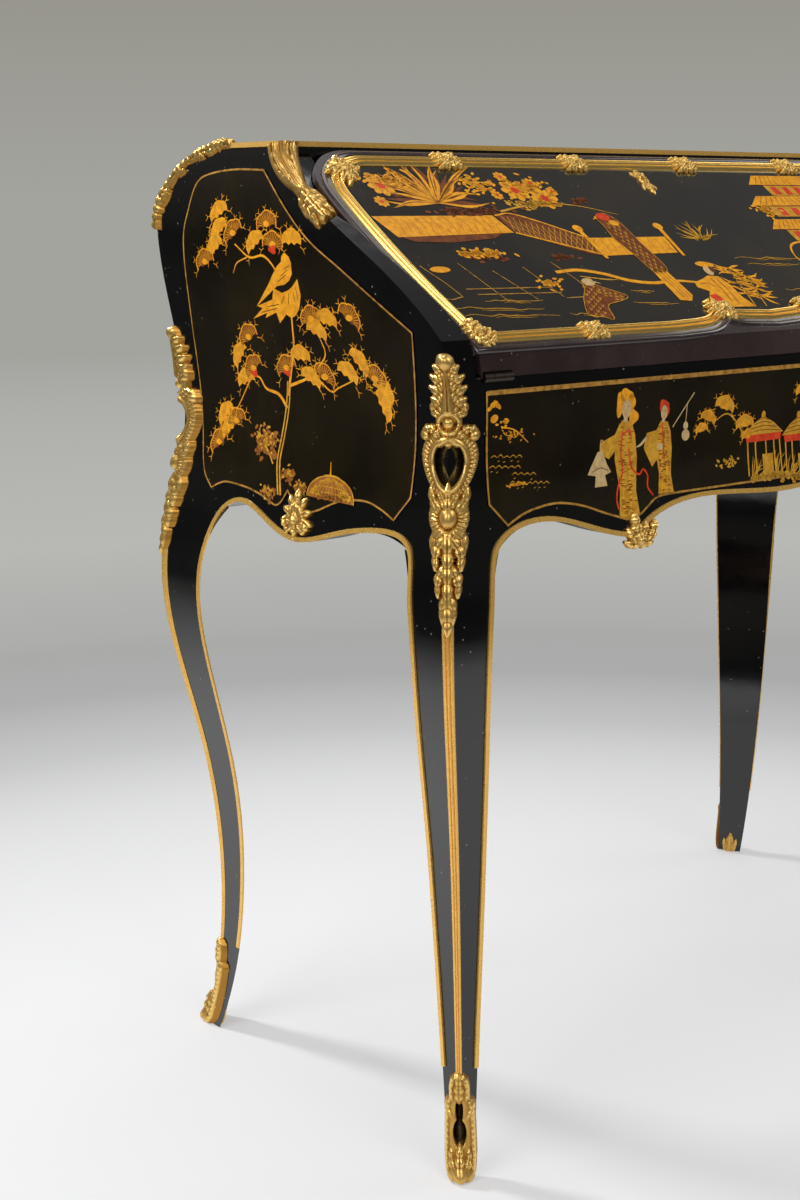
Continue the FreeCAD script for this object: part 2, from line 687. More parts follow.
def front_apron_points():
    """Half of the front apron's lower edge: from the post to its point, and on to the middle."""
    arch = size.post_x - size.arch_in
    dip = size.post_x - size.dip_in
    to_point = [
        Vector(size.post_x, 0, size.spring_height),
        Vector(arch, 0, size.knee_height + size.arch_rise),
        Vector((arch + dip) / 2, 0, size.knee_height + (size.arch_rise + size.dip_rise) / 2),
        Vector(dip, 0, size.knee_height + size.dip_rise),
    ]
    lead = dip - size.centre_lead
    to_middle = [
        to_point[-1],
        Vector(lead, 0, size.knee_height + (size.dip_rise + 3 * size.centre_rise) / 4),
        Vector(0, 0, size.knee_height + size.centre_rise),
    ]
    return to_point, to_middle


def front_apron_edges():
    to_point, to_middle = front_apron_points()
    middle = to_middle + mirrored_x(to_middle[:-1])[::-1]
    return [smooth_edge(to_point), smooth_edge(middle), smooth_edge(mirrored_x(to_point))]


def make_side_panels():
    corner = Vector(0, -size.post_y, size.spring_height)
    front_top = Vector(0, -size.post_y, slope_height(-size.post_y))
    edges = [smooth_edge(side_apron_points()), slope_edge(-size.post_y, size.top_front)]
    edges += lines([corner, front_top])
    edges += lines(
        [Vector(0, size.top_front, size.under_top), Vector(0, size.shoulder_start, size.under_top)]
    )
    arc = shoulder_arc(size.top_thickness, size.shoulder_start)
    foot_y = size.back_outer - size.top_thickness
    outline = lines(
        [
            Vector(0, foot_y, size.shoulder_foot),
            Vector(0, foot_y, size.spring_height),
            Vector(0, back_spring_y(), size.spring_height),
        ]
    )
    side_view = prism_along_x(edges + [arc] + outline, 0, REACH)
    between_posts = Part.makeBox(REACH, 2 * size.post_y, REACH, Vector(0, -size.post_y, 0))
    body = outward_solid(side_curve, size.side_inner, size.knee_height, size.height)
    panel = body.common(side_view).common(between_posts).cut(lid_space())
    keep_pair("side_panel", panel)


def front_view(low_edges, top):
    """Prism along the depth with the apron's lower edge, between the posts."""
    sides = lines(
        [
            Vector(size.post_x, 0, size.spring_height),
            Vector(size.post_x, 0, top),
            Vector(-size.post_x, 0, top),
            Vector(-size.post_x, 0, size.spring_height),
        ]
    )
    return prism_along_y(low_edges + sides, REACH)


def make_front_and_back():
    frieze_top = size.hinge_height - size.lid_gap
    frieze = turned(outward_solid(front_curve, size.front_inner, size.knee_height, frieze_top), 90)
    frieze = frieze.mirror(ORIGIN, Vector(0, 1, 0)).common(front_view(front_apron_edges(), frieze_top))
    recess = hinge_recess()
    keep("front_frieze", frieze.cut(recess).cut(recess.mirror(ORIGIN, Vector(1, 0, 0))))
    back = back_post_solid(size.back_inner)
    keep("back_panel", back.common(front_view(front_apron_edges(), size.height)))


def make_top():
    front = Vector(0, size.top_front, size.height)
    flat = Vector(0, size.shoulder_start, size.height)
    under_front = Vector(0, size.top_front, size.under_top)
    under_flat = Vector(0, size.shoulder_start, size.under_top)
    foot_outer = Vector(0, size.back_outer, size.shoulder_foot)
    foot_inner = Vector(0, size.back_outer - size.top_thickness, size.shoulder_foot)
    edges = lines([under_flat, under_front, front, flat]) + lines([foot_outer, foot_inner])
    edges += [shoulder_arc(0, size.shoulder_start), shoulder_arc(size.top_thickness, size.shoulder_start)]
    board = prism_along_x(edges, -REACH, REACH)
    right = outward_solid(side_curve, 0, size.knee_height, size.height)
    whole = right.fuse(right.mirror(ORIGIN, Vector(1, 0, 0)))
    keep("top_board", board.common(whole.removeSplitter()))


# Boards, boxes and hardware drawn as sketches

def origin_plane(body, role):
    return next(plane for plane in body.Origin.OriginFeatures if plane.Role == role)


def new_body(name, place=("0", "0", "0")):
    body = doc.addObject("PartDesign::Body", name)
    body.Label = name
    for axis, formula in zip("xyz", place):
        body.setExpression(f"Placement.Base.{axis}", cells(formula))
    pieces.append(body)
    return body


def new_sketch(body, name, role, offset=None):
    sketch = body.newObject("Sketcher::SketchObject", name)
    sketch.AttachmentSupport = [(origin_plane(body, role), "")]
    sketch.MapMode = "FlatFace"
    if offset:
        sketch.setExpression("AttachmentOffset.Base.z", cells(offset))
    return sketch


def bind(sketch, kind, first, second, formula):
    """A horizontal or vertical distance between two points of a sketch, tied to a formula."""
    number = sketch.addConstraint(Sketcher.Constraint(kind, *first, *second, 1.0))
    sketch.setExpression(f"Constraints[{number}]", cells(formula))


def add_rectangle(sketch, left, low, width, depth):
    """Rectangle placed from the sketch's origin by four formulas."""
    base = sketch.GeometryCount
    corners = [Vector(1, 1, 0), Vector(2, 1, 0), Vector(2, 2, 0), Vector(1, 2, 0)]
    for start, end in zip(corners, corners[1:] + corners[:1]):
        sketch.addGeometry(Part.LineSegment(start, end))
    for step in range(4):
        sketch.addConstraint(Sketcher.Constraint("Coincident", base + step, 2, base + (step + 1) % 4, 1))
    for step, kind in enumerate(("Horizontal", "Vertical", "Horizontal", "Vertical")):
        sketch.addConstraint(Sketcher.Constraint(kind, base + step))
    root = (-1, 1)
    bind(sketch, "DistanceX", root, (base, 1), left)
    bind(sketch, "DistanceY", root, (base, 1), low)
    bind(sketch, "DistanceX", (base, 1), (base, 2), width)
    bind(sketch, "DistanceY", (base + 1, 1), (base + 1, 2), depth)


def add_pad(body, sketch, length):
    pad = body.newObject("PartDesign::Pad", f"{body.Name}_pad")
    pad.Profile = sketch
    pad.setExpression("Length", cells(length))
    return pad


def add_pocket(body, name, rectangles, depth, offset):
    """Cut rectangles down from a height, and check that they cut."""
    doc.recompute()
    before = body.Shape.Volume
    sketch = new_sketch(body, f"{name}_outline", "XY_Plane", offset)
    for rectangle in rectangles:
        add_rectangle(sketch, *rectangle)
    pocket = body.newObject("PartDesign::Pocket", name)
    pocket.Profile = sketch
    pocket.setExpression("Length", cells(depth))
    doc.recompute()
    if body.Shape.Volume >= before:
        raise ValueError(f"{name} cuts nothing")


def board(name, place, width, depth, thickness):
    """Flat board from its lower front left corner."""
    body = new_body(name, place)
    sketch = new_sketch(body, f"{name}_outline", "XY_Plane")
    add_rectangle(sketch, "0", "0", width, depth)
    add_pad(body, sketch, thickness)
    return body


def corner_notches():
    """Rectangles that clear the corner posts, in the corner frame of a full board."""
    across = "side_inner - post_x"
    far = "side_inner + post_x"
    back = "back_inner - post_y"
    back_start = "front_inner + post_y"
    front = "front_inner - post_y"
    return [
        ("0", back_start, across, back),
        (far, back_start, across, back),
        ("0", "0", across, front),
        (far, "0", across, front),
    ]


def make_bottom_and_bed():
    place = ("-side_inner", "-front_inner", "bottom_top - bottom_thickness")
    inner_depth = "front_inner + back_inner"
    bottom = board("bottom_board", place, "2 * side_inner", inner_depth, "bottom_thickness")
    add_pocket(bottom, "bottom_notches", corner_notches(), "bottom_thickness", "bottom_thickness")
    bed_place = ("-side_inner", "-front_inner", "bed_under")
    bed = board("writing_bed", bed_place, "2 * side_inner", inner_depth, "bed_thickness")
    add_pocket(bed, "bed_notches", corner_notches(), "bed_thickness", "bed_thickness")
    channel = (
        "side_inner - cover_half",
        "front_inner - well_front - cover_ledge",
        "2 * cover_half",
        "well_length + 2 * cover_ledge + cover_travel",
    )
    add_pocket(bed, "cover_channel", [channel], "cover_thickness + cover_fit", "bed_thickness")
    mouth = ("side_inner - well_half", "front_inner - well_front", "2 * well_half", "well_length")
    add_pocket(bed, "well_mouth", [mouth], "bed_thickness", "bed_thickness")


def make_well():
    place = ("-well_half - well_wall", "-well_front - well_wall", "bottom_top")
    tall = "bed_under - bottom_top"
    box = board("well_box", place, "2 * (well_half + well_wall)", "well_length + 2 * well_wall", tall)
    hollow = ("well_wall", "well_wall", "2 * well_half", "well_length")
    add_pocket(box, "well_hollow", [hollow], f"{tall} - well_wall", tall)
    cover_place = (
        "-cover_half + cover_fit",
        "-well_front - cover_ledge + cover_fit",
        "hinge_height - cover_thickness - cover_fit",
    )
    cover = board(
        "well_cover",
        cover_place,
        "2 * (cover_half - cover_fit)",
        "well_length + 2 * (cover_ledge - cover_fit)",
        "cover_thickness",
    )
    thumb = ("cover_half - cover_fit - thumb_length / 2", "cover_ledge", "thumb_length", "thumb_width")
    add_pocket(cover, "thumb_notch", [thumb], "thumb_depth", "cover_thickness")


def make_interior():
    gradin_depth = "back_inner - gradin_front"
    shelf = board(
        "gradin_shelf",
        ("-side_inner", "gradin_front", "shelf_under"),
        "2 * side_inner",
        gradin_depth,
        "shelf_thickness",
    )
    across = "side_inner - post_x"
    start = "post_y - gradin_front"
    notch_depth = "back_inner - post_y"
    notches = [("0", start, across, notch_depth), ("side_inner + post_x", start, across, notch_depth)]
    add_pocket(shelf, "shelf_notches", notches, "shelf_thickness", "shelf_thickness")
    for side, sign in (("left", "-"), ("right", "")):
        middle = f"{sign}partition_half - partition_thickness / 2"
        board(
            f"gradin_partition_{side}",
            (middle, "gradin_front", "hinge_height"),
            "partition_thickness",
            gradin_depth,
            "drawer_rise",
        )
    rail_place = ("-side_inner", "lid_back + rail_gap", "under_top - rail_height")
    rail = board("top_rail", rail_place, "2 * side_inner", "rail_depth", "rail_height")
    slot = ("side_inner - bolt_width / 2 - bolt_fit * 4", "0", "bolt_width + bolt_fit * 8", "rail_depth / 2")
    add_pocket(rail, "bolt_mortise", [slot], "rail_height * 0.7", "rail_height - bolt_fit * 4")


def make_dividers():
    """Pigeonhole dividers, which reach up to the underside of the top and its shoulder."""
    front = size.lid_back + size.rail_gap + size.rail_depth
    low = size.shelf_under + size.shelf_thickness
    arc = shoulder_arc(size.top_thickness, size.shoulder_start)
    foot = Vector(0, size.back_outer - size.top_thickness, size.shoulder_foot)
    outline = [
        Vector(0, size.shoulder_start, size.under_top),
        Vector(0, front, size.under_top),
        Vector(0, front, low),
        Vector(0, foot.y, low),
        foot,
    ]
    edges = [arc] + lines(outline)
    inside = Part.makeBox(2 * REACH, size.back_inner + REACH, 2 * REACH, Vector(-REACH, -REACH, 0))
    half = size.divider_thickness / 2
    middles = (-size.divider_half, -size.partition_half, size.partition_half, size.divider_half)
    for number, middle in enumerate(middles, start=1):
        divider = prism_along_x(edges, middle - half, middle + half)
        keep(f"pigeonhole_divider_{number}", divider.common(inside))


def make_drawer(side, start):
    """A drawer with its front edge at the front of the interior fitting, from its inner or outer end."""
    width = "drawer_width - 2 * drawer_fit"
    tall = "drawer_rise - 2 * drawer_fit"
    low = "hinge_height + drawer_fit"
    box_depth = "drawer_depth - drawer_front_thickness"
    left = f"{start} + drawer_fit"
    board(f"drawer_front_{side}", (left, "gradin_front", low), width, "drawer_front_thickness", tall)
    box_place = (left, "gradin_front + drawer_front_thickness", low)
    box = board(f"drawer_box_{side}", box_place, width, box_depth, tall)
    hollow = ("drawer_wall", "drawer_wall", f"{width} - 2 * drawer_wall", f"{box_depth} - 2 * drawer_wall")
    add_pocket(box, f"drawer_hollow_{side}", [hollow], f"{tall} - drawer_bottom", tall)
    middle = size.partition_half + size.partition_thickness / 2 + size.drawer_width / 2
    sign = LEFT if side == "left" else RIGHT
    knobs = []
    for step in (-0.5, 0.5):
        x = sign * middle + step * size.knob_spacing
        knobs.append(knob_solid(Vector(x, size.gradin_front, size.hinge_height + size.drawer_rise / 2)))
    keep(f"drawer_knobs_{side}", Part.makeCompound(knobs), solids=2)


def knob_solid(seat):
    """Turned knob: a foot disc, a thin neck and a round head, all on one axis out of the drawer front."""
    outward = Vector(0, -1, 0)
    foot = Part.makeCylinder(size.knob_radius * 0.8, size.knob_length * 0.12, seat, outward)
    neck_length = size.knob_length - size.knob_radius
    neck = Part.makeCylinder(size.knob_radius * 0.45, neck_length, seat, outward)
    head = Part.makeSphere(size.knob_radius, seat + outward * neck_length)
    return foot.fuse([neck, head]).removeSplitter()


def make_drawers():
    make_drawer("left", "-side_inner")
    make_drawer("right", "partition_half + partition_thickness / 2")


# Lid, drawn flat with its hinge line on the X axis and its inner face in the XY plane

def tilt(body):
    """Lean a piece of the lid back about the hinge line."""
    body.Placement = Placement(body.Placement.Base, Rotation(Vector(1, 0, 0), size.lid_angle))
    body.setExpression("Placement.Base.y", cells("hinge_y"))
    body.setExpression("Placement.Base.z", cells("hinge_height"))
    body.setExpression("Placement.Rotation.Angle", cells("lid_angle"))


def make_lid_board():
    """Board with bowed ends, round upper corners and a plumb lower edge, recessed on its inner face."""
    outline = rounded_outline(size.lid_half_width, 0, size.lid_length, size.lid_corner)
    board = outline.extrude(Vector(0, 0, size.lid_thickness))
    high = Vector(0, 0, size.lid_thickness)
    heel = [ORIGIN, high + Vector(0, size.lid_heel, 0), high, ORIGIN]
    board = board.cut(prism_along_x(lines(heel), -REACH, REACH))
    half = size.lid_half_width - size.leather_margin
    leather_length = size.lid_length - size.lock_depth - 2 * size.leather_margin
    recesses = [
        Part.makeBox(2 * half, leather_length, size.leather_thickness, Vector(-half, size.leather_margin, 0)),
        Part.makeBox(
            size.lock_width,
            size.lock_depth,
            size.lock_thickness,
            Vector(-size.lock_width / 2, size.lid_length - size.lock_depth, 0),
        ),
    ]
    inner_end = size.hinge_end - size.hinge_length
    notch = size.knuckle_radius + size.hinge_fit
    leaf = Part.makeBox(size.hinge_length, size.hinge_leaf, size.leaf_thickness, Vector(inner_end, 0, 0))
    knuckles = Part.makeBox(
        size.hinge_length + 2 * size.hinge_fit, notch, notch, Vector(inner_end - size.hinge_fit, 0, 0)
    )
    for recess in (leaf, knuckles):
        recesses += [recess, recess.mirror(ORIGIN, Vector(1, 0, 0))]
    for recess in recesses:
        before = board.Volume
        board = board.cut(recess)
        if board.Volume >= before:
            raise ValueError("a recess of the lid cuts nothing")
    keep("lid_board", board, LID_PLACE)


def lid_plate(name, left, low, width, length, thickness):
    """Flat plate on the inner face of the lid."""
    body = new_body(name)
    tilt(body)
    sketch = new_sketch(body, f"{name}_outline", "XY_Plane")
    add_rectangle(sketch, left, low, width, length)
    add_pad(body, sketch, thickness)
    return body


def make_lid_inside():
    lid_plate(
        "lid_leather",
        "leather_margin - lid_half_width",
        "leather_margin",
        "2 * (lid_half_width - leather_margin)",
        "lid_length - lock_depth - 2 * leather_margin",
        "leather_thickness",
    )
    lock = lid_plate(
        "lid_lock", "-lock_width / 2", "lid_length - lock_depth", "lock_width", "lock_depth", "lock_thickness"
    )
    slot_low = "lid_length - bolt_length - bolt_fit"
    doc.recompute()
    slot_depth = "(lock_thickness - bolt_thickness) / 2 - bolt_fit"
    sketch = new_sketch(lock, "bolt_slot_outline", "XY_Plane", slot_depth)
    add_rectangle(
        sketch,
        "-bolt_width / 2 - bolt_fit",
        slot_low,
        "bolt_width + 2 * bolt_fit",
        "bolt_length + 2 * bolt_fit",
    )
    slot = lock.newObject("PartDesign::Pocket", "bolt_slot")
    slot.Profile = sketch
    slot.setExpression("Length", cells("bolt_thickness + 2 * bolt_fit"))
    slot.Reversed = True
    bolt = new_body("lock_bolt")
    tilt(bolt)
    outline = new_sketch(bolt, "bolt_outline", "XY_Plane", "(lock_thickness - bolt_thickness) / 2")
    bolt_low = "lid_length - bolt_length"
    add_rectangle(outline, "-bolt_width / 2", bolt_low, "bolt_width", "bolt_length - bolt_fit")
    add_pad(bolt, outline, "bolt_thickness")


def frame_bottom(half, low):
    """Lower side of the gilt frame: straight runs that rise to two cusps, with a round drop between them."""
    cusp = Vector(size.cusp_half, low + size.cusp_rise, 0)
    start = Vector(size.cusp_half * 2.2, low, 0)
    rising = [start, Vector(size.cusp_half * 1.45, low + size.cusp_rise * 0.22, 0), cusp]
    drop = [
        cusp,
        Vector(size.cusp_half * 0.72, low + size.cusp_rise * 0.6, 0),
        Vector(0, low + size.cusp_rise * 0.4, 0),
    ]
    whole_drop = drop + mirrored_x(drop[:-1])[::-1]
    corner = Vector(half + out_at(bow_curve, low), low, 0)
    edges = lines([corner, start]) + lines([mirrored_x([start])[0], mirrored_x([corner])[0]])
    return edges + [smooth_edge(rising), smooth_edge(whole_drop), smooth_edge(mirrored_x(rising))]


def frame_outline(inset):
    """Outline of the gilt frame, set in from its outer edge."""
    half = size.lid_half_width - size.frame_inset - inset
    low = size.lid_heel + size.frame_foot + inset
    high = size.lid_length - size.frame_inset - inset
    return rounded_outline(half, low, high, size.frame_corner - inset, frame_bottom(half, low))


def frame_ring(outer_inset, width, height):
    ring = frame_outline(outer_inset).extrude(Vector(0, 0, height))
    return ring.cut(frame_outline(outer_inset + width).extrude(Vector(0, 0, height)))


def make_lid_mounts():
    face = Vector(0, 0, size.lid_thickness)
    lip_low = Vector(0, 0, size.lid_thickness - size.lip_thickness)
    lip = rounded_outline(
        size.lid_half_width + size.lip_overhang,
        size.lid_heel + size.lid_gap,
        size.lid_length + size.lip_overhang,
        size.lid_corner + size.lip_overhang,
    ).extrude(Vector(0, 0, size.lip_thickness))
    inner = rounded_outline(size.lid_half_width, 0, size.lid_length, size.lid_corner)
    lip = lip.cut(inner.extrude(Vector(0, 0, size.lip_thickness)))
    lip.translate(lip_low)
    keep("lid_lipping", lip, LID_PLACE)
    frame = frame_ring(0, size.frame_width, size.frame_height)
    bead_inset = (size.frame_width - size.bead_width) / 2
    frame = frame.fuse(frame_ring(bead_inset, size.bead_width, size.bead_height)).removeSplitter()
    frame.translate(face)
    keep("lid_frame", frame, LID_PLACE)
    clasps = [clasp.cut(frame) for clasp in frame_clasps()]
    keep("lid_clasps", Part.makeCompound(clasps), LID_PLACE, solids=sum(len(c.Solids) for c in clasps))
    keep("lid_escutcheon", escutcheon_solid(), LID_PLACE)


def frame_clasps():
    """Leaf clasps that grip the gilt frame at its corners and along its sides."""
    half = size.lid_half_width - size.frame_inset - size.frame_width / 2
    low = size.lid_heel + size.frame_foot + size.frame_width / 2
    high = size.lid_length - size.frame_inset - size.frame_width / 2
    corner_turn = size.frame_corner * (1 - math.sqrt(0.5)) * 0.75
    spots = []
    for side in (LEFT, RIGHT):
        spots.append((side * (half + out_at(bow_curve, high) - corner_turn), high - corner_turn))
        spots.append((side * (half + out_at(bow_curve, low)), low))
        spots.append((side * size.cusp_half, low + size.cusp_rise * 0.9))
        spots += [(side * share * half, high) for share in (0.22, 0.67)]
        spots.append((side * 0.66 * half, low))
    clasps = []
    for x, along in spots:
        middle = Vector(x, along, size.lid_thickness)
        outline = shell_outline(size.frame_clasp_half, size.frame_clasp_width, CLASP_LOBES)
        points = [middle + Vector(across, up, 0) for across, up in outline]
        leaf = face_of(lines(points + points[:1])).extrude(Vector(0, 0, size.frame_clasp_height))
        clasps.append(leaf)
    return clasps


def escutcheon_solid():
    """Keyhole plate: a round head over a tapering tail, with the keyhole through it."""
    top = size.lid_length - size.frame_inset - size.frame_width - 2 * size.frame_height
    head = Vector(0, top - size.escutcheon_half, size.lid_thickness)
    plate = Part.makeCylinder(size.escutcheon_half, size.escutcheon_height, head)
    tail_end = top - size.escutcheon_length
    tail = face_of(
        lines(
            [
                Vector(-size.escutcheon_half, head.y, head.z),
                Vector(size.escutcheon_half, head.y, head.z),
                Vector(size.escutcheon_half / 3, tail_end, head.z),
                Vector(-size.escutcheon_half / 3, tail_end, head.z),
                Vector(-size.escutcheon_half, head.y, head.z),
            ]
        )
    ).extrude(Vector(0, 0, size.escutcheon_height))
    hole = Part.makeCylinder(size.escutcheon_half / 3, size.escutcheon_height, head)
    ward = Part.makeBox(
        size.escutcheon_half / 3,
        size.escutcheon_half,
        size.escutcheon_height,
        head - Vector(size.escutcheon_half / 6, size.escutcheon_half, 0),
    )
    return plate.fuse(tail).cut(hole.fuse(ward)).removeSplitter()


# Hinges

def make_hinges():
    """Butt hinges: two knuckles on the post's leaf, one on the lid's leaf, and a pin through all three."""
    third = size.hinge_length / 3
    inner_end = size.hinge_end - size.hinge_length
    gap = size.hinge_fit / 2
    bore = hinge_cutter(size.pin_radius + size.pin_fit, inner_end, size.hinge_end)
    middle = hinge_cutter(size.knuckle_radius, inner_end + third + gap, inner_end + 2 * third - gap)
    low_end = hinge_cutter(size.knuckle_radius, inner_end, inner_end + third - gap)
    high_end = hinge_cutter(size.knuckle_radius, inner_end + 2 * third + gap, size.hinge_end)
    round_middle = hinge_cutter(
        size.knuckle_radius + size.hinge_fit, inner_end + third - gap, inner_end + 2 * third + gap
    )
    round_ends = hinge_cutter(size.knuckle_radius + size.hinge_fit, inner_end, inner_end + third + gap).fuse(
        hinge_cutter(size.knuckle_radius + size.hinge_fit, inner_end + 2 * third - gap, size.hinge_end)
    )
    plate_low = Vector(
        inner_end, size.hinge_y, size.hinge_height - size.lid_gap - size.leaf_thickness
    )
    fixed_plate = Part.makeBox(size.hinge_length, size.hinge_leaf, size.leaf_thickness, plate_low)
    fixed = fixed_plate.cut(round_middle).fuse([low_end, high_end]).cut(bore).removeSplitter()
    lid_plate_box = Part.makeBox(
        size.hinge_length, size.hinge_leaf, size.leaf_thickness, Vector(inner_end, 0, 0)
    )
    lid_plate_box.Placement = LID_PLACE
    moving = lid_plate_box.cut(round_ends).fuse(middle).cut(bore).removeSplitter()
    pin = hinge_cutter(size.pin_radius, inner_end, size.hinge_end)
    across = Vector(1, 0, 0)
    keep("hinge_leaves_post", Part.makeCompound([fixed, fixed.mirror(ORIGIN, across)]), solids=2)
    keep("hinge_leaves_lid", Part.makeCompound([moving, moving.mirror(ORIGIN, across)]), solids=2)
    keep("hinge_pins", Part.makeCompound([pin, pin.mirror(ORIGIN, across)]), solids=2)


# Gilt-bronze mounts

def corner_solid(face, low, high, shift):
    """Corner of the desk between two heights, with both outer faces moved outward, for the back right."""
    by_side = outward_solid(side_curve, size.post_x - size.post_inset_width, low, high, shift)
    by_face = turned(
        outward_solid(face, size.post_y - size.post_inset_depth, low, high, shift), 90
    )
    return by_side.common(by_face)


def seen_along_corner(outline):
    """Prism along the corner's diagonal, from an outline of (across, height) points."""
    points = [Vector(0, across, height) for across, height in outline]
    prism = prism_along_x(lines(points + points[:1]), 0, REACH)
    return turned(prism, 45)


def arris_across(face, height):
    """How far the arris lies from the middle plane of the diagonal view."""
    return (out_at(face, height) - out_at(side_curve, height)) / math.sqrt(2)


def leaning_outline(face, outline, proud, low, high):
    """Plate on a corner, from an outline measured across from the arris, which follows the arris."""
    shifted = [(across + arris_across(face, height), height) for across, height in outline]
    plate = corner_solid(face, low, high, proud).common(seen_along_corner(shifted))
    return plate.cut(corner_solid(face, low, high, 0))


def ellipse_outline(middle, half_width, half_height, count=20):
    """Points round an upright ellipse, as (across, height)."""
    points = []
    for step in range(count):
        angle = 2 * math.pi * step / count
        points.append((half_width * math.cos(angle), middle + half_height * math.sin(angle)))
    return points


def shell_outline(half_width, half_height, lobes):
    """Outline with rounded lobes, like a scallop shell or a rosette, as (across, height)."""
    points = []
    count = 6 * lobes
    for step in range(count):
        angle = 2 * math.pi * step / count
        swell = 0.9 + 0.1 * math.cos(lobes * angle)
        points.append((swell * half_width * math.cos(angle), swell * half_height * math.sin(angle)))
    return points


def arris_fillet(face):
    """The arris fillet runs from the sabot up to the chute, in lengths that follow the leg's curve."""
    low = size.sabot_height
    high = size.chute_bottom
    left = []
    right = []
    for height in stations(low, high, 8):
        half = size.arris_width * (ARRIS_TAPER + (1 - ARRIS_TAPER) * (height - low) / (high - low))
        left.append((-half, height))
        right.append((half, height))
    return leaning_outline(face, left + right[::-1], size.fillet_proud, low, high)


def chute_solid(face):
    """Corner chute: a leaf at the top, an open cartouche, a domed boss and a pendant of husks."""
    low = size.chute_bottom
    high = low + size.chute_length
    length = size.chute_length
    half = size.chute_half
    outlines = [
        ellipse_outline(low + middle * length, wide * half, tall * length)
        for middle, wide, tall in list(CHUTE_OVALS.values()) + [CHUTE_OPENING]
    ]
    shapes = [leaning_outline(face, outline, size.chute_proud, low, high) for outline in outlines[:-1]]
    hole = leaning_outline(face, outlines[-1], size.chute_proud * 2, low, high)
    plate = shapes[0].fuse(shapes[1:]).cut(hole)
    dome_height = low + CHUTE_OVALS["boss"][0] * length
    dome = Part.makeSphere(
        CHUTE_DOME * half, Vector(out_at(side_curve, dome_height), out_at(face, dome_height), dome_height)
    )
    dome = dome.cut(corner_solid(face, low, high, 0))
    return plate.fuse(dome).removeSplitter()


def sabot_solid(face):
    """Sabot: a cup round the foot with a leaf that rises up the arris and is pierced."""
    height = size.sabot_height
    across = SABOT_ACROSS * (size.foot_width + size.sabot_proud)
    right = [(across * SABOT_FLARE, 0), (across * SABOT_RIM, size.sabot_cup)]
    right += [(across * wide, height * up) for wide, up in SABOT_OUTLINE]
    left = [(-wide, up) for wide, up in right][::-1]
    plate = leaning_outline(face, right + [(0, height)] + left, size.sabot_proud, 0, height)
    middle, wide, tall = SABOT_OPENING
    opening = ellipse_outline(middle * height, wide * across, tall * height)
    return plate.cut(leaning_outline(face, opening, size.sabot_proud * 2, 0, height))


def make_corner_mounts():
    for place, face in (("front", front_curve), ("back", back_curve)):
        for name, solid in (
            ("chute", chute_solid(face)),
            ("sabot", sabot_solid(face)),
            ("arris_fillet", arris_fillet(face)),
        ):
            placed = solid.mirror(ORIGIN, Vector(0, 1, 0)) if place == "front" else solid
            keep_pair(f"{name}_{place}", placed)


def leg_edge_points(curve, width):
    """Inner edge of a leg's outer face, from the sabot up past the knee, as (outward, height)."""
    return [
        (out_at(curve, height) - width(height), height)
        for height in stations(size.sabot_height, size.knee_height, 5) + [flare_height()]
    ]


def beside(points, distance):
    """Points moved sideways, to the left of the way they run, in a plane of two coordinates."""
    moved = []
    for number, (across, height) in enumerate(points):
        before = points[max(number - 1, 0)]
        after = points[min(number + 1, len(points) - 1)]
        run = (after[0] - before[0], after[1] - before[1])
        length = math.hypot(*run)
        moved.append((across - run[1] / length * distance, height + run[0] / length * distance))
    return moved


def ribbon_face(points, width):
    """Flat ribbon along points in the XZ plane, with its other edge to one side."""
    outer = [Vector(across, 0, height) for across, height in points]
    inner = [Vector(across, 0, height) for across, height in beside(points, width)]
    ends = lines([outer[0], inner[0]]) + lines([outer[-1], inner[-1]])
    return [smooth_edge(outer), smooth_edge(inner)] + ends


def face_shell(curve, low, high):
    """Thin layer on an outer face, as thick as a gilt fillet."""
    return outward_solid(curve, 0, low, high, size.fillet_proud).cut(outward_solid(curve, -1, low, high))


def edge_fillet(curve, ribbons):
    """Fillet on one outer face, made along joined ribbons, with outward as +Y and across as +X."""
    shell = turned(face_shell(curve, size.sabot_height / 2, size.hinge_height), 90)
    outer_half = Part.makeBox(2 * REACH, REACH, 2 * REACH, Vector(-REACH, 0, 0))
    parts = []
    for ribbon in ribbons:
        prism = prism_along_y(ribbon_face(ribbon, -size.fillet_width), REACH)
        parts.append(shell.common(prism).common(outer_half))
    return parts[0].fuse(parts[1:]).removeSplitter()


def apron_ribbons(width):
    """Ribbons up the inner edge of a leg, along the front or back apron and down the next leg."""
    to_point, to_middle = front_apron_points()
    middle = to_middle + mirrored_x(to_middle[:-1])[::-1]
    rising = leg_edge_points(side_curve, width) + [(point.x, point.z) for point in to_point]
    falling = [(-across, height) for across, height in rising][::-1]
    return [rising, [(point.x, point.z) for point in middle], falling]


def make_edge_fillets():
    """Gilt fillets along the legs and the aprons of each side."""
    front = edge_fillet(front_curve, apron_ribbons(face_width)).mirror(ORIGIN, Vector(0, 1, 0))
    keep("edge_fillet_front", front)
    keep("edge_fillet_back", edge_fillet(back_curve, apron_ribbons(back_face_width)))
    apron = [(-point.y, point.z) for point in side_apron_points()[::-1]]
    back_leg = [(-across, height) for across, height in leg_edge_points(back_curve, back_side_width)][::-1]
    ribbon = leg_edge_points(front_curve, face_width) + apron + back_leg
    side = turned(edge_fillet(side_curve, [ribbon]), -90)
    keep_pair("edge_fillet", side)
    make_apron_clasps(front, side)


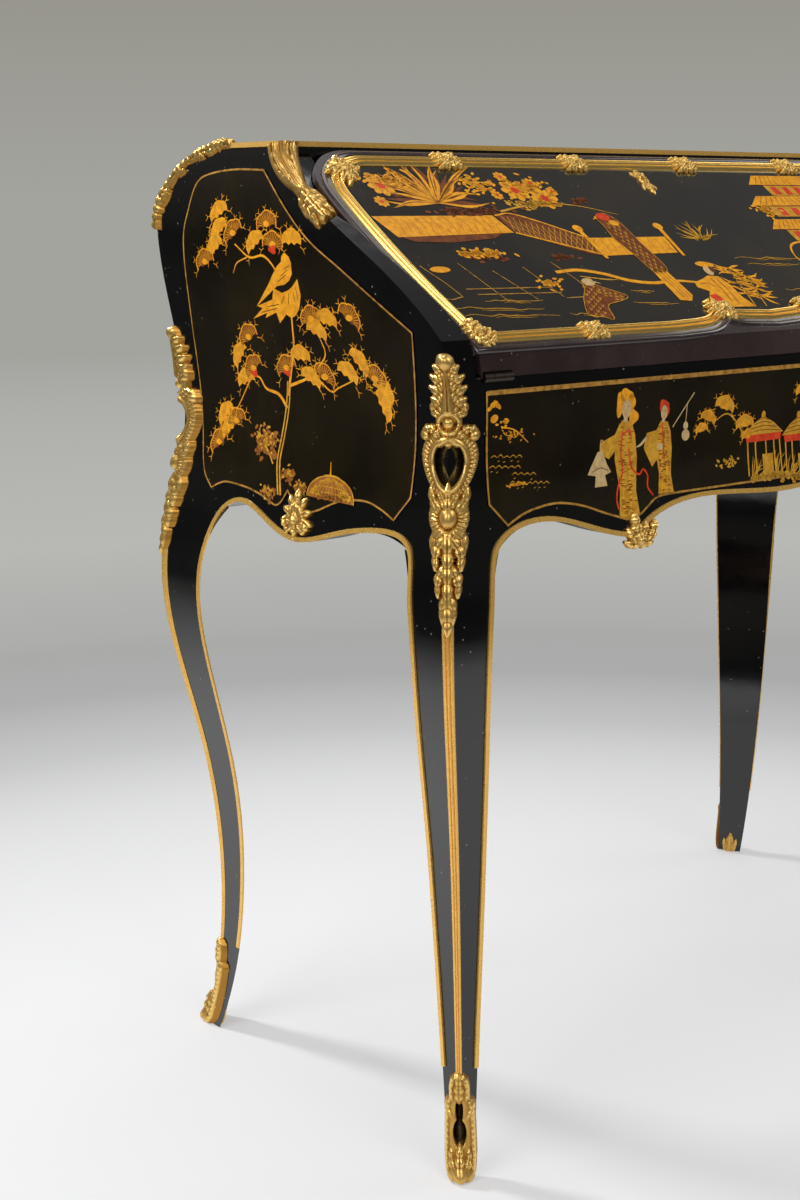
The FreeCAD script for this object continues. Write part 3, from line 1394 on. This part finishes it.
def clasp_solid(curve, across, height):
    """Shell-shaped clasp on an apron, with outward as +Y and across as +X."""
    middle = height + size.clasp_height * 0.3
    outline = shell_outline(size.clasp_half, size.clasp_height / 2, CLASP_LOBES)
    points = [Vector(across + x, 0, middle + z) for x, z in outline]
    prism = prism_along_y(lines(points + points[:1]), REACH)
    low = size.knee_height
    proud = outward_solid(curve, 0, low, size.hinge_height, size.clasp_proud)
    shell = turned(proud.cut(outward_solid(curve, -1, low, size.hinge_height)), 90)
    outer_half = Part.makeBox(2 * REACH, REACH, 2 * REACH, Vector(-REACH, 0, 0))
    return shell.common(prism).common(outer_half)


def make_apron_clasps(front_fillet, side_fillet):
    """Clasps on the points of the front apron and in the dips of the side aprons."""
    dip = size.post_x - size.dip_in
    front = clasp_solid(front_curve, dip, size.knee_height + size.dip_rise)
    front = front.mirror(ORIGIN, Vector(0, 1, 0)).cut(front_fillet)
    side = turned(clasp_solid(side_curve, 0, size.knee_height + size.side_dip_rise), -90).cut(side_fillet)
    across = Vector(1, 0, 0)
    clasps = [front, front.mirror(ORIGIN, across), side, side.mirror(ORIGIN, across)]
    keep("apron_clasps", Part.makeCompound(clasps), solids=sum(len(clasp.Solids) for clasp in clasps))


def edge_layer(low, width, proud):
    """Layer along the upper edge of the right side: proud of its face, and set back by a width."""
    return outward_solid(side_curve, 0, low, size.height, proud).cut(
        outward_solid(side_curve, -1, low, size.height, -width)
    )


def make_shoulder_mounts():
    arc_end = size.shoulder_start
    foot = Vector(0, size.back_outer, size.shoulder_foot)
    crown = Vector(0, arc_end, size.height)
    edges = [shoulder_arc(0, arc_end), shoulder_arc(-size.strip_proud, arc_end)]
    edges += lines([foot, foot + Vector(0, size.strip_proud, 0)])
    edges += lines([crown, crown + Vector(0, 0, size.strip_proud)])
    band = prism_along_x(edges, 0, REACH)
    layer = edge_layer(size.hinge_height, size.strip_width, 0)
    keep_pair("shoulder_mount_back", band.common(layer))
    start = size.top_front - size.leaf_reach
    edge = slope_edge(start, size.top_front)
    ends = [Vector(0, start, slope_height(start)), Vector(0, size.top_front, size.under_top)]
    lift = Vector(0, -size.strip_proud * math.sin(SLOPE), size.strip_proud * math.cos(SLOPE))
    drop = Vector(0, 0, -size.leaf_drop)
    inner = size.lid_half_width + size.lid_bow + size.lip_overhang + 3 * size.lid_gap
    grown = outward_solid(side_curve, 0, size.hinge_height, size.height, size.strip_proud)
    plain = outward_solid(side_curve, -1, size.hinge_height, size.height)
    on_slope = slope_band(edge, ends, lift, inner).common(grown)
    on_side = slope_band(edge, ends, drop, inner).common(grown).cut(plain)
    keep_pair("shoulder_mount_front", on_slope.fuse(on_side).removeSplitter())


def slope_band(edge, ends, move, inner):
    """Band between the sloping edge and its copy moved aside, from a width outward."""
    outline = [edge, edge.translated(move)]
    for end in ends:
        outline += lines([end, end + move])
    return prism_along_x(outline, inner, REACH)


def make_top_fillet():
    """Gilt fillet round the upper edge of the top board, along its front and its ends."""
    low = size.height - size.top_fillet_height
    right = outward_solid(side_curve, 0, low, size.height, size.fillet_proud)
    grown = right.fuse(right.mirror(ORIGIN, Vector(1, 0, 0))).removeSplitter()
    plain_right = outward_solid(side_curve, 0, low, size.height)
    plain = plain_right.fuse(plain_right.mirror(ORIGIN, Vector(1, 0, 0))).removeSplitter()
    front = size.top_front - size.fillet_proud
    reach = Part.makeBox(2 * REACH, size.shoulder_start - front, REACH, Vector(-REACH, front, low))
    behind = Part.makeBox(2 * REACH, REACH, REACH, Vector(-REACH, size.top_front, low))
    keep("top_fillet", grown.common(reach).cut(plain.common(behind)))


for make in (
    make_legs,
    make_side_panels,
    make_front_and_back,
    make_top,
    make_bottom_and_bed,
    make_well,
    make_interior,
    make_dividers,
    make_drawers,
):
    make()
make_lid_board()
make_lid_inside()
make_lid_mounts()
make_hinges()
make_corner_mounts()
make_edge_fillets()
make_shoulder_mounts()
make_top_fillet()

doc.recompute()
for item in doc.Objects:
    if "Invalid" in item.State or "Error" in item.State:
        raise ValueError(f"{item.Label} failed: {item.State}")
for piece in pieces:
    if piece.Shape.isNull() or not piece.Shape.isValid():
        raise ValueError(f"{piece.Label} has no valid shape")

os.makedirs("parts", exist_ok=True)
for piece in pieces:
    piece.Shape.exportStep(f"parts/{piece.Label}.step")
